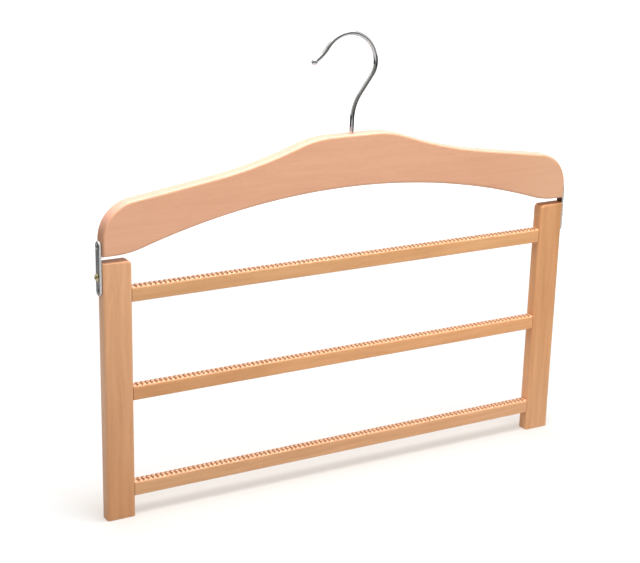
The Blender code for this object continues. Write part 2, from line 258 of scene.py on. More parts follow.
def block(centre: Point3, size: Sequence[float]) -> bpy.types.Object:
    """Make a block to mortise or slot with.

    Args:
        centre: Middle of the block.
        size: Its lengths along X, Y and Z.

    Returns:
        The block as an object with its place in its mesh.
    """
    work = bmesh.new()
    bmesh.ops.create_cube(work, size=1.0, matrix=Matrix.Translation(centre) @ Matrix.Diagonal((*size, 1.0)))
    return from_work("block", work)


@dataclass(frozen=True)
class Board:
    """A flat piece cut to an outline, whose rim is rounded towards both faces.

    Attributes:
        name: Name of the piece.
        outline: Points of the outline, in order.
        thickness: Distance between the two faces.
        radius: Radius of the rounded rim.
        axis: Direction of the thickness.
        centre: Where the middle of the thickness lies along that direction.
        segments: Number of strips in the rounding.
        crisp: Indices of the outline's edges that are hardly rounded.
        crisp_radius: How far the rounding cuts in there.
    """

    name: str
    outline: list[Point2]
    thickness: float
    radius: float
    axis: Axis = Axis.Y
    centre: float = 0.0
    segments: int = 6
    crisp: frozenset[int] = frozenset()
    crisp_radius: float = 0.4 * MM

    def inset(self, share: float, extra: float) -> list[Point2]:
        """Draw the outline in from its edges.

        Args:
            share: Share of each edge's own radius.
            extra: Further distance, the same at every edge.

        Returns:
            The moved points, in the order of the outline.
        """
        points = [Vector(point) for point in self.outline]
        edges = list(zip(points, points[1:] + points[:1]))
        turn = math.copysign(1.0, sum(point.cross(after) for point, after in edges))
        normals = []
        reaches = []
        for index, (point, after) in enumerate(edges):
            along = (after - point).normalized()
            normals.append(Vector((along.y, -along.x)) * turn)
            reaches.append((self.crisp_radius if index in self.crisp else self.radius) * share + extra)
        moved = []
        for index, point in enumerate(points):
            before, after = normals[index - 1], normals[index]
            reach_before, reach_after = reaches[index - 1], reaches[index]
            cross = before.cross(after)
            if abs(cross) < STRAIGHT_CROSS:
                shift = (before + after) / 2 * -(reach_before + reach_after) / 2
            else:
                shift = Vector(((reach_after * before.y - reach_before * after.y) / cross,
                                (reach_before * after.x - reach_after * before.x) / cross))
            moved.append((point.x + shift.x, point.y + shift.y))
        return moved

    def build(self) -> bpy.types.Object:
        """Build the piece.

        Returns:
            A closed object with its place in its mesh.
        """
        half = self.thickness / 2
        rings = []
        for step in range(self.segments + 1):
            angle = QUARTER_TURN * step / self.segments
            rings.append((1 - math.cos(angle), 0.0, half - self.radius * (1 - math.sin(angle))))
        rings.append((1.0, FACE_MARGIN * self.radius, half))
        rings = [(share, extra, -depth) for share, extra, depth in reversed(rings)] + rings
        work = bmesh.new()
        loops = []
        for share, extra, depth in rings:
            along = self.centre + depth
            loops.append([work.verts.new((across, along, up) if self.axis is Axis.Y else (along, across, up))
                          for across, up in self.inset(share, extra)])
        count = len(self.outline)
        for lower, upper in zip(loops, loops[1:]):
            for index in range(count):
                after = (index + 1) % count
                work.faces.new((lower[index], lower[after], upper[after], upper[index]))
        work.faces.new(list(reversed(loops[0])))
        work.faces.new(loops[-1])
        bmesh.ops.recalc_face_normals(work, faces=work.faces)
        return from_work(self.name, work)


class Value:
    """What a node puts out, which further nodes work on with Python's own signs."""

    def __init__(self, maker: "NodeMaker", socket: bpy.types.NodeSocket) -> None:
        """Keep an output and the maker of its tree."""
        self.maker = maker
        self.socket = socket

    def __getitem__(self, key: int | str) -> "Value":
        """Another output of the same node, by its name or place."""
        return Value(self.maker, self.socket.node.outputs[key])

    def __add__(self, other: object) -> "Value":
        """The sum with another value."""
        return self.maker.math("ADD", self, other)

    def __sub__(self, other: object) -> "Value":
        """This value less another."""
        return self.maker.math("SUBTRACT", self, other)

    def __rsub__(self, other: object) -> "Value":
        """Another value less this one."""
        return self.maker.math("SUBTRACT", other, self)

    def __mul__(self, other: object) -> "Value":
        """The product with another value."""
        return self.maker.math("MULTIPLY", self, other)

    def __abs__(self) -> "Value":
        """The value without its sign."""
        return self.maker.math("ABSOLUTE", self)

    def at_least(self, other: object) -> "Value":
        """The larger of this and another value."""
        return self.maker.math("MAXIMUM", self, other)

    def at_most(self, other: object) -> "Value":
        """The smaller of this and another value."""
        return self.maker.math("MINIMUM", self, other)

    def above(self, other: object) -> "Value":
        """1 where this is more than another value, otherwise 0."""
        return self.maker.math("GREATER_THAN", self, other)

    def below(self, other: object) -> "Value":
        """1 where this is less than another value, otherwise 0."""
        return self.maker.math("LESS_THAN", self, other)

    def choose(self, one: object, zero: object) -> "Value":
        """One value where this is 1, and another where it is 0."""
        return self * one + (1.0 - self) * zero

    def dot(self, other: object) -> "Value":
        """The dot product of this and another vector."""
        return self.maker.vector("DOT_PRODUCT", self, other)

    def split(self) -> "Value":
        """The X of a vector, with its Y and Z as outputs 1 and 2."""
        return self.maker.add("ShaderNodeSeparateXYZ", i0=self)

    def ramp(self, low: object, high: object, start: float = 0.0, end: float = 1.0) -> "Value":
        """Map a number smoothly to another range.

        Args:
            low: Where the change begins.
            high: Where it ends.
            start: Result up to the first.
            end: Result from the second on.

        Returns:
            The result.
        """
        return self.maker.add("ShaderNodeMapRange", {"interpolation_type": "SMOOTHSTEP"}, i0=self, i1=low, i2=high,
                              i3=start, i4=end)


class NodeMaker:
    """Adds and joins the nodes of one tree."""

    def __init__(self, tree: bpy.types.NodeTree) -> None:
        """Start on a tree."""
        self.tree = tree

    def add(self, kind: str, settings: dict[str, object] | None = None, **inputs: object) -> Value:
        """Add a node.

        Args:
            kind: Type of the node.
            settings: Properties of the node to set, by name.
            **inputs: Values for its inputs, as fill takes them.

        Returns:
            Its first output.
        """
        node = self.tree.nodes.new(kind)
        for key, value in (settings or {}).items():
            setattr(node, key, value)
        self.fill(node, **inputs)
        return Value(self, node.outputs[0])

    def fill(self, node: bpy.types.Node, **inputs: object) -> None:
        """Give inputs of a node their values, or join them to outputs.

        Args:
            node: The node.
            **inputs: Plain values, colours of three parts or what other nodes put out, by the input's name with
                underscores for spaces, or by i and its number.
        """
        for key, value in inputs.items():
            socket = node.inputs[int(key[1:]) if key[1:].isdigit() else key.replace("_", " ")]
            if isinstance(value, Value):
                self.tree.links.new(value.socket, socket)
            else:
                socket.default_value = (*value, 1.0) if socket.type == "RGBA" else value

    def close(self, **outputs: Value) -> bpy.types.NodeTree:
        """End a node group.

        Args:
            **outputs: What it puts out, by name with underscores for spaces.

        Returns:
            The group.
        """
        for label, value in outputs.items():
            self.tree.interface.new_socket(name=label.replace("_", " "), in_out="OUTPUT",
                                           socket_type=f"NodeSocket{SOCKET_KINDS[value.socket.type]}")
        self.fill(self.tree.nodes.new("NodeGroupOutput"), **outputs)
        return self.tree

    def close_shape(self, shape: Value, material: Value) -> bpy.types.NodeTree:
        """End a Geometry Nodes tree, with its instances made real and its material set."""
        real = self.add("GeometryNodeRealizeInstances", Geometry=shape)
        return self.close(Geometry=self.add("GeometryNodeSetMaterial", Geometry=real, Material=material))

    def math(self, operation: str, first: object, second: object = 0.0) -> Value:
        """The result of a Math node on two values."""
        return self.add("ShaderNodeMath", {"operation": operation}, i0=first, i1=second)

    def vector(self, operation: str, first: object, second: object = (0.0, 0.0, 0.0)) -> Value:
        """The result of a Vector Math node on two vectors, a number where the operation gives one."""
        result = self.add("ShaderNodeVectorMath", {"operation": operation}, i0=first, i1=second)
        return result[1] if operation in {"DOT_PRODUCT", "LENGTH"} else result

    def blend(self, factor: object, first: object, second: object, mode: str = "MIX") -> Value:
        """Add a Mix node for colours.

        Args:
            factor: Share of the second colour.
            first: First colour.
            second: Second colour.
            mode: How the two are mixed.

        Returns:
            The mixed colour.
        """
        return self.add("ShaderNodeMix", {"data_type": "RGBA", "blend_type": mode, "clamp_factor": True}, i0=factor,
                        i6=first, i7=second)[2]

    def noise(self, place: Value, stretch: object, detail: float, distortion: float = 0.0,
              roughness: float = 0.55) -> Value:
        """Add a Noise Texture on stretched coordinates.

        Args:
            place: Coordinates in metres.
            stretch: Features per metre along each axis.
            detail: Octaves of the noise.
            distortion: How much the noise is bent.
            roughness: How much of each finer octave shows.

        Returns:
            Its factor, about 0.5 on average.
        """
        return self.add("ShaderNodeTexNoise", Vector=self.vector("MULTIPLY", place, stretch), Scale=1.0,
                        Detail=detail, Roughness=roughness, Distortion=distortion)

    def group(self, tree: bpy.types.NodeTree, **inputs: object) -> Value:
        """Place a shader node group, with values for its inputs."""
        return self.add("ShaderNodeGroup", {"node_tree": tree}, **inputs)

    def mark(self, shape: Value, label: str, value: Value, kind: str = "FLOAT") -> Value:
        """Keep a value on the points of a shape, under a name."""
        return self.add("GeometryNodeStoreNamedAttribute", {"data_type": kind, "domain": "POINT"}, Geometry=shape,
                        Name=label, Value=value)

    def recall(self, label: str, kind: str = "FLOAT") -> Value:
        """The value that a shape's points keep under a name."""
        return self.add("GeometryNodeInputNamedAttribute", {"data_type": kind}, Name=label)


def start_group(name: str, kind: str, inputs: dict[str, object]) -> tuple[NodeMaker, Value]:
    """Begin a node group with named inputs.

    Args:
        name: Name of the group.
        kind: Type of its tree.
        inputs: The usual number of each input, or its kind where it isn't a number, by name.

    Returns:
        A maker for the group's nodes, and its inputs.
    """
    tree = bpy.data.node_groups.new(name, kind)
    for label, value in inputs.items():
        socket_kind = value if isinstance(value, str) else "Int" if isinstance(value, int) else "Float"
        socket = tree.interface.new_socket(name=label, in_out="INPUT", socket_type=f"NodeSocket{socket_kind}")
        if socket_kind != value:
            socket.default_value = value
    maker = NodeMaker(tree)
    return maker, maker.add("NodeGroupInput")


def run_tree(item: bpy.types.Object, tree: bpy.types.NodeTree, **values: object) -> bpy.types.Object:
    """Shape an object with a Geometry Nodes tree, and keep the result as its plain mesh.

    Args:
        item: The object to shape.
        tree: The tree.
        **values: Values for the tree's inputs, by their names.

    Returns:
        The same object.
    """
    modifier = item.modifiers.new(tree.name, "NODES")
    modifier.node_group = tree
    sockets = {socket.name: socket.identifier for socket in tree.interface.items_tree
               if socket.item_type == "SOCKET" and socket.in_out == "INPUT"}
    for label, value in values.items():
        modifier[sockets[label]] = value
    item.update_tag()
    bpy.context.view_layer.update()
    return settle(item)


class ShaderKit:
    """The effects that several materials use, each as one shader node group that is built once."""

    @staticmethod
    @cache
    def rim() -> bpy.types.NodeTree:
        """Build the mask of rounded rims, from the direction that the surface faces on its own piece.

        Returns:
            The group.
        """
        maker, ins = start_group("rounded_rim", "ShaderNodeTree", {"Normal": "Vector", "Thickness Axis": "Vector"})
        facing = abs(ins["Normal"].dot(ins["Thickness Axis"]))
        return maker.close(Rim=(facing * (1.0 - facing) * 4.0).ramp(0.15, 0.9))

    @staticmethod
    @cache
    def handling() -> bpy.types.NodeTree:
        """Build the fine scratches and smudges that handling leaves.

        Returns:
            The group.
        """
        maker, ins = start_group("handling_marks", "ShaderNodeTree", {
            "Vector": "Vector", "Along": "Vector", "Across": "Vector", "Smudge Size": 60.0})
        along, across = (maker.noise(ins["Vector"], ins[direction], 4.0, 0.25, 0.65).ramp(0.56, 0.72)
                         for direction in ("Along", "Across"))
        smudges = maker.add("ShaderNodeTexNoise", Vector=ins["Vector"], Scale=ins["Smudge Size"], Detail=3.0,
                            Roughness=0.6, Distortion=0.8)
        return maker.close(Scratches=along.at_least(across * 0.6), Smudges=smudges.ramp(0.38, 0.68))

    @staticmethod
    @cache
    def grain() -> bpy.types.NodeTree:
        """Build the grain of beech, which runs along the X of the coordinates that it is given.

        Returns:
            The group.
        """
        maker, ins = start_group("beech_grain", "ShaderNodeTree", {
            "Vector": "Vector", "Pale": "Color", "Dark": "Color", "Fleck": "Color", "Streaks": 1.0, "Flecks": 0.5,
            "Normal": "Vector", "Direction": "Vector", "End Start": 0.62, "Rim": 0.0})
        end_start = ins["End Start"]
        end_grain = abs(ins["Normal"].dot(ins["Direction"])).ramp(end_start, end_start + 0.35)
        bend = maker.add("ShaderNodeTexNoise", Vector=ins["Vector"], Scale=9.0, Detail=1.0, Roughness=0.4)["Color"]
        drift = maker.vector("MULTIPLY", maker.vector("SUBTRACT", bend, (0.5, 0.5, 0.5)), (0.0, 0.012, 0.012))
        bent = maker.vector("ADD", ins["Vector"], drift)
        bands = maker.noise(bent, (5.0, 95.0, 70.0), 2.0, 0.3)
        streaks = maker.noise(bent, (11.0, 420.0, 330.0), 3.0, 0.2)
        fibres = maker.noise(bent, (70.0, 2600.0, 2600.0), 2.0)
        patches = maker.noise(ins["Vector"], (12.0, 25.0, 25.0), 1.0)
        pores = maker.noise(ins["Vector"], (900.0, 2100.0, 2100.0), 2.0)
        cells = maker.add("ShaderNodeTexVoronoi", Vector=maker.vector("MULTIPLY", bent, (260.0, 1500.0, 1100.0)),
                          Scale=1.0, Randomness=1.0)
        picked = maker.add("ShaderNodeSeparateColor", i0=cells["Color"]).ramp(0.55, 0.75)
        rays = cells["Distance"].ramp(0.16, 0.34, 1.0, 0.0) * picked

        tone = bands.ramp(0.32, 0.68) * 0.46 + streaks.ramp(0.34, 0.66) * 0.34 + patches.ramp(0.3, 0.7) * 0.20
        colour = maker.blend(tone * ins["Streaks"], ins["Pale"], ins["Dark"])
        end_tone = pores.ramp(0.42, 0.66) * 0.22 + 0.42
        for share in (fibres.ramp(0.5, 0.72) * 0.10, rays * ins["Flecks"], end_grain * end_tone):
            colour = maker.blend(share, colour, ins["Fleck"])
        colour = maker.blend(ins["Rim"] * 0.16, colour, ins["Pale"], "LIGHTEN")
        return maker.close(Color=colour, Roughness=streaks * 0.14 + 0.40 + rays * 0.12 + end_grain * 0.14,
                           Height=fibres * 0.45 + streaks * 0.35 - rays * 0.5, End_Grain=end_grain)

    @staticmethod
    @cache
    def painted_light() -> bpy.types.NodeTree:
        """Build the painted light and shade of wood: a colour drift along the grain, a top tint and shade by the
        notches.

        Returns:
            The group.
        """
        maker, ins = start_group("wood_painted_light", "ShaderNodeTree", {
            "Color": "Color", "Position": "Vector", "Normal": "Vector", "Direction": "Vector", "Drift": "Color",
            "Drift Start": -0.2, "Drift End": 0.2, "Crest": 0.0, "Rubbed": "Color", "Notch": 0.0, "Seam": 0.0,
            "Dirt": "Color"})
        # Painted light and shade: towards one end the colour is multiplied by the drift colour.
        fade = ins["Position"].dot(ins["Direction"]).ramp(ins["Drift Start"], ins["Drift End"], 1.0, 0.0)
        colour = maker.blend(fade, ins["Color"], ins["Drift"], "MULTIPLY")
        rise = ins["Normal"].split()[2]
        # Painted light: faces that point up are mixed towards a tint that stands for the top light and sheen on them.
        colour = maker.blend(rise.ramp(0.25, 0.85) * ins["Crest"], colour, ins["Rubbed"])
        depth = abs(ins["Position"].split()[1])
        # Painted shade: the notches are darkened most in the middle of the rung's depth, where shade falls in them.
        notch_shade = ins["Notch"] * depth.ramp(2.3 * MM, 3.1 * MM, 0.95, 0.15)
        # Painted shade: a dark line along the top on both sides of the middle, where a step would throw shade.
        strip = depth.ramp(0.9 * MM, 1.4 * MM) * depth.ramp(2.2 * MM, 2.8 * MM, 1.0, 0.0)
        line = strip * rise.ramp(0.2, 0.5) * ins["Seam"]
        return maker.close(Color=maker.blend(notch_shade.at_least(line), colour, ins["Dirt"]))


def start_material(name: str) -> tuple[bpy.types.Material, NodeMaker, bpy.types.Node]:
    """Begin a material with an empty tree but for its shader.

    Args:
        name: Name of the material.

    Returns:
        The material, a maker for its nodes and its Principled shader.
    """
    material = bpy.data.materials.new(name)
    material.use_nodes = True
    return material, NodeMaker(material.node_tree), material.node_tree.nodes["Principled BSDF"]


@dataclass(frozen=True)
class WoodFinish:
    """Beech under clear satin lacquer.

    Attributes:
        name: Name of the material.
        pale: Colour of the palest grain.
        dark: Colour of the darkest streaks.
        grain: Direction of the grain on the piece.
        offset: Where in the pattern the piece is cut from.
        fleck: Colour of the rays, of end grain and of the painted shade by the notches.
        streaks: Strength of the streaks.
        flecks: Strength of the rays.
        gloss: Weight of the lacquer's coat.
        end_start: How squarely the surface crosses the grain where end grain begins to show.
        crest: Share of a painted top tint where the piece faces up, standing for the top light and sheen there.
        rubbed: Colour of that painted top tint.
        drift: Colour that the wood is multiplied by towards one end, as painted light and shade.
        span: Places along the grain where that painted light and shade begins to fade and where it has faded out.
        seam: Strength of the painted shade along the top, on both sides of the middle of its depth.
    """

    name: str
    pale: Colour
    dark: Colour
    grain: Axis
    offset: Point3
    fleck: Colour = (0.36, 0.16, 0.065)
    streaks: float = 1.0
    flecks: float = 0.14
    gloss: float = 0.75
    end_start: float = 0.62
    crest: float = 0.0
    rubbed: Colour = (0.92, 0.51, 0.33)
    drift: Colour = WHITE
    span: tuple[float, float] = (-0.2, 0.2)
    seam: float = 0.0

    def build(self) -> bpy.types.Material:
        """Make the material.

        Returns:
            The material.
        """
        material, maker, shader = start_material(self.name)
        source = maker.add("ShaderNodeTexCoord")
        normal = source["Normal"]
        turns = {Axis.X: (0.0, 0.0, 0.0), Axis.Y: (0.0, 0.0, QUARTER_TURN), Axis.Z: (0.0, QUARTER_TURN, 0.0)}
        place = maker.add("ShaderNodeMapping", Vector=source["Object"], Location=self.offset,
                          Rotation=turns[self.grain])
        rim = maker.group(ShaderKit.rim(), Normal=normal, Thickness_Axis=Axis.Y.value)
        grain = maker.group(ShaderKit.grain(), Vector=place, Pale=self.pale, Dark=self.dark, Fleck=self.fleck,
                            Streaks=self.streaks, Flecks=self.flecks, Normal=normal, Direction=self.grain.value,
                            End_Start=self.end_start, Rim=rim)
        notch = maker.add("ShaderNodeAttribute", {"attribute_name": "notch"})["Fac"]
        # Painted light and shade of the piece: its drift, its top tint and its shade by the notches.
        painted_light = maker.group(ShaderKit.painted_light(), Color=grain["Color"], Position=source["Object"], Normal=normal,
                           Direction=self.grain.value, Drift=self.drift, Drift_Start=self.span[0],
                           Drift_End=self.span[1], Crest=self.crest, Rubbed=self.rubbed, Notch=notch, Seam=self.seam,
                           Dirt=self.fleck)
        marks = maker.group(ShaderKit.handling(), Vector=place, Along=(25.0, 700.0, 700.0),
                            Across=(500.0, 60.0, 200.0), Smudge_Size=38.0)
        bump = maker.add("ShaderNodeBump", Strength=0.35, Distance=0.06 * MM,
                         Height=grain["Height"] - marks["Scratches"] * 0.1)
        maker.fill(shader, Base_Color=painted_light, Roughness=grain["Roughness"] + marks["Smudges"] * 0.06,
                   Coat_Weight=self.gloss - marks["Smudges"] * 0.12 - grain["End Grain"] * 0.2, Normal=bump,
                   Coat_Roughness=0.22, IOR=1.5)
        return material


@dataclass(frozen=True)
class MetalFinish:
    """A metal surface, from mirror chrome to plain steel.

    Attributes:
        name: Name of the material.
        colour: Colour of the clean metal.
        tint: Colour of its duller or stained parts.
        roughness: Roughness of the clean metal.
        smudge_roughness: How much smudges and scratches each add to that.
        scratch_depth: Strength of the scratches.
        stain: Share of the tint at most.
        thickness: Direction that the piece is thin in, whose rounded rims get a painted highlight, if any.
        edge: Pale colour painted on the cut edges around a thin piece as their highlight.
        inside: Dark colour painted on the face of a thin piece that lies against the wood, as the shade there.
        attribute: Attribute that holds the place along and around a wire, if any.
    """

    name: str
    colour: Colour
    tint: Colour
    roughness: float
    smudge_roughness: float
    scratch_depth: float
    stain: float
    thickness: Axis | None = None
    edge: Colour = (0.86, 0.85, 0.84)
    inside: Colour = (0.15, 0.075, 0.05)
    attribute: str = ""

    def build(self) -> bpy.types.Material:
        """Make the material.

        Returns:
            The material.
        """
        material, maker, shader = start_material(self.name)
        source = maker.add("ShaderNodeTexCoord")
        if self.attribute:
            place = maker.add("ShaderNodeAttribute", {"attribute_name": self.attribute})["Vector"]
            along, across, smudge_size = (40.0, 900.0, 900.0), (1500.0, 90.0, 300.0), 60.0
        else:
            place = source["Object"]
            along, across, smudge_size = (900.0, 700.0, 60.0), (900.0, 120.0, 1300.0), 260.0
        marks = maker.group(ShaderKit.handling(), Vector=place, Along=along, Across=across, Smudge_Size=smudge_size)
        smudges, scratches = marks["Smudges"], marks["Scratches"]
        colour = maker.blend(smudges * self.stain, self.colour, self.tint)
        rough = smudges * self.smudge_roughness + self.roughness + scratches * self.smudge_roughness
        metallic = 1.0
        if self.thickness:
            axis = self.thickness.value
            rim = maker.group(ShaderKit.rim(), Normal=source["Normal"], Thickness_Axis=axis)
            # Painted highlight: the rounded rims are made brighter.
            colour = maker.blend(rim * 0.6, colour, tuple(min(1.0, part * 1.5) for part in self.colour))
            facing = source["Normal"].dot(axis)
            # Painted highlight: the cut edges get a pale colour and are made less metallic.
            edge_highlight = abs(facing).ramp(0.30, 0.80, 0.85, 0.0)
            colour = maker.blend(edge_highlight, colour, self.edge)
            # Painted shade: the face that lies against the wood is made dark brown.
            outward = facing * maker.math("SIGN", source["Object"].dot(axis))
            colour = maker.blend(outward.ramp(-0.95, -0.80, 0.9, 0.0), colour, self.inside)
            rough = rough - rim * (self.roughness * 0.35)
            metallic = 1.0 - edge_highlight * 0.7
        bump = maker.add("ShaderNodeBump", Strength=self.scratch_depth, Distance=0.02 * MM, Height=scratches)
        maker.fill(shader, Base_Color=colour, Roughness=rough, Metallic=metallic, Normal=bump)
        return material


def dress(item: bpy.types.Object, material: bpy.types.Material, body: str, slot: str, *nodes: str) -> None:
    """Finish a piece: its material, its body and the nodes that it stands for.

    Args:
        item: The piece, in place.
        material: Its material.
        body: Body that it rides on.
        slot: The record's slot that its finish comes from; not used.
        *nodes: Nodes that it replaces.
    """
    item.data.materials.clear()
    item.data.materials.append(material)
    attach(item, body)
    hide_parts(*nodes)
    log.info("%s: %d faces on %s", item.name, len(item.data.polygons), body)


@dataclass
class Hook:
    """The bent wire hook with a ball at its tip.

    Its sizes are those of the CAD node, with its height measured from the top of the arm.
    """

    finish: MetalFinish
    wire_radius: float = 1.83 * MM
    shank_depth: float = 22.0 * MM
    bend_radius: float = 25.0 * MM
    bend_offset: float = -4.0 * MM
    bend_height: float = 57.7 * MM
    bend_sweep: float = math.radians(145.0)
    throat_radius: float = 18.0 * MM
    throat_sweep: float = math.radians(36.0)
    neck_radius: float = 38.0 * MM
    tip_radius: float = 35.0 * MM
    tip_sweep: float = math.radians(22.0)
    tip_length: float = 3.0 * MM
    ball_radius: float = 2.6 * MM
    sides: int = 32

    def path(self) -> list[Point2]:
        """Centre line of the wire, from the shank's end to the ball.

        Returns:
            Points in X and height above the arm's top.
        """
        throat_x = self.bend_offset + self.bend_radius - self.throat_radius
        throat = arc((throat_x, self.bend_height), self.throat_radius, -self.throat_sweep, 0.0, 20)
        bend = arc((self.bend_offset, self.bend_height), self.bend_radius, 0.0, self.bend_sweep, 72)
        neck_run = throat[0][0] - self.neck_radius * (1 - math.cos(self.throat_sweep))
        neck_drop = neck_run / math.tan(self.throat_sweep)
        neck_level = throat[0][1] - neck_drop - self.neck_radius * math.sin(self.throat_sweep)
        neck = arc((self.neck_radius, neck_level), self.neck_radius, math.pi, math.pi - self.throat_sweep, 14)
        turn = self.bend_sweep
        tip_centre = (bend[-1][0] + self.tip_radius * math.cos(turn), bend[-1][1] + self.tip_radius * math.sin(turn))
        tip = arc(tip_centre, self.tip_radius, turn + math.pi, turn + math.pi - self.tip_sweep, 16)
        heading = turn + QUARTER_TURN - self.tip_sweep
        ball = (tip[-1][0] + self.tip_length * math.cos(heading), tip[-1][1] + self.tip_length * math.sin(heading))
        return [(0.0, -self.shank_depth)] + neck + throat + bend[1:] + tip[1:] + [ball]

    def wire_tree(self) -> bpy.types.NodeTree:
        """Build the tree that draws a round wire along a path and sets a ball on its end.

        Returns:
            The tree.
        """
        maker, ins = start_group("drawn_wire", "GeometryNodeTree", {
            "Geometry": "Geometry", "Wire Radius": self.wire_radius, "Sides": self.sides,
            "Ball Radius": self.ball_radius, "Material": "Material"})
        path = maker.add("GeometryNodeMeshToCurve", Mesh=ins["Geometry"])
        line = maker.mark(path, "along", maker.add("GeometryNodeSplineParameter")["Length"])
        circle = maker.add("GeometryNodeCurvePrimitiveCircle", Resolution=ins["Sides"], Radius=ins["Wire Radius"])
        section = maker.mark(circle, "around", maker.add("GeometryNodeInputPosition"), "FLOAT_VECTOR")
        wire = maker.add("GeometryNodeCurveToMesh", Curve=line, Profile_Curve=section, Fill_Caps=True)
        around = maker.recall("around", "FLOAT_VECTOR").split()
        spot = maker.add("ShaderNodeCombineXYZ", X=maker.recall("along"), Y=around, Z=around[1])
        placed = maker.mark(wire, "wire_place", spot, "FLOAT_VECTOR")
        end = maker.add("GeometryNodeCurveEndpointSelection", Start_Size=0, End_Size=1)
        points = maker.add("GeometryNodeCurveToPoints", {"mode": "EVALUATED"},
                           Curve=maker.mark(path, "tip", end, "BOOLEAN"))
        ball = maker.add("GeometryNodeMeshUVSphere", Segments=BALL_SIDES, Rings=BALL_RINGS,
                         Radius=ins["Ball Radius"])
        balls = maker.add("GeometryNodeInstanceOnPoints", Points=points, Selection=maker.recall("tip", "BOOLEAN"),
                          Instance=ball)
        tip = maker.add("GeometryNodeRealizeInstances", Geometry=balls)
        joined = maker.add("GeometryNodeMeshBoolean", {"operation": "UNION", "solver": "EXACT"}, Mesh_2=placed)
        maker.fill(joined.socket.node, Mesh_2=tip)
        return maker.close_shape(joined, ins["Material"])

    def build(self) -> None:
        """Build the hook and dress it."""
        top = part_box("arm")[1].z
        material = self.finish.build()
        hook = from_line("swivel_hook", [(across, 0.0, top + up) for across, up in self.path()])
        shade(run_tree(hook, self.wire_tree(), Material=material))
        dress(hook, material, "hook", "chrome", "hook")


@dataclass
class Fastener:
    """A turned pin, screw or nail, along X with its head outwards.

    Attributes:
        kind: Last words of its node's name.
        finish: Its metal.
        slot: The record's slot that its finish comes from.
        head_radius: Radius of the domed head.
        head_height: Height of the head.
        radius: Radius of the shank.
        reach: Length of the shank below the head.
        tip: Length of its point.
        level: Height of its axis.
        recess: Whether the head has a cross recess.
    """

    kind: str
    finish: MetalFinish
    slot: str
    head_radius: float
    head_height: float
    radius: float
    reach: float
    tip: float
    level: float
    recess: bool = False

    def profile(self) -> list[Point2]:
        """Half section of the fastener.

        Returns:
            Radius and height above the head's underside, from the top down.
        """
        ball = (self.head_radius ** 2 + self.head_height ** 2) / (2 * self.head_height)
        sweep = math.asin(self.head_radius / ball)
        angles = [sweep * step / DOME_STEPS for step in range(DOME_STEPS)]
        dome = [(ball * math.sin(angle), self.head_height - ball * (1 - math.cos(angle))) for angle in angles]
        edge = min(HEAD_RIM, self.head_height / 3)
        rim = [(self.head_radius, edge * 0.8), (self.head_radius - edge * 0.15, edge * 0.25),
               (self.head_radius - edge * 0.6, 0.0)]
        shank = [(self.radius, 0.0), (self.radius, self.tip - self.reach), (self.radius * 0.12, -self.reach)]
        return dome + rim + shank + [(0.0, -self.reach)]

    @staticmethod
    @cache
    def lathe_tree() -> bpy.types.NodeTree:
        """Build the tree that turns a half section about the Z axis.

        Returns:
            The tree.
        """
        maker, ins = start_group("turned_fastener", "GeometryNodeTree", {
            "Geometry": "Geometry", "Sides": 48, "Axis Radius": LATHE_RADIUS, "Material": "Material"})
        section = maker.add("GeometryNodeMeshToCurve", Mesh=ins["Geometry"])
        circle = maker.add("GeometryNodeCurvePrimitiveCircle", Resolution=ins["Sides"], Radius=ins["Axis Radius"])
        turned = maker.add("GeometryNodeCurveToMesh", Curve=circle, Profile_Curve=section, Fill_Caps=False)
        merged = maker.add("GeometryNodeMergeByDistance", Geometry=turned, Distance=ins["Axis Radius"] * 0.9)
        return maker.close_shape(merged, ins["Material"])

    def build(self, side: Side, body: str, material: bpy.types.Material) -> None:
        """Build the fastener on one side, and dress it.

        Args:
            side: Which end of the hanger it is on.
            body: Body that it rides on.
            material: Its material, made from its finish.
        """
        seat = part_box("right_strap")[1].x + HEAD_GAP
        item = from_line(f"{side.label}_{self.kind}_piece",
                         [(radius - LATHE_RADIUS, -height, 0.0) for radius, height in self.profile()])
        run_tree(item, self.lathe_tree(), Material=material)
        work = bmesh.new()
        work.from_mesh(item.data)
        bmesh.ops.recalc_face_normals(work, faces=work.faces)
        turn = Matrix.Rotation(side.value * QUARTER_TURN, 4, "Y")
        spot = Matrix.Translation((side.value * seat, 0.0, self.level))
        bmesh.ops.transform(work, matrix=spot @ turn, verts=work.verts)
        work.to_mesh(item.data)
        work.free()
        if self.recess:
            top = (side.value * (seat + self.head_height), 0.0, self.level)
            cut(item, [block(top, Vector(size) * MM) for size in SLOT_SIZES])
        dress(shade(item), material, body, self.slot, f"{side.label}_{self.kind}")


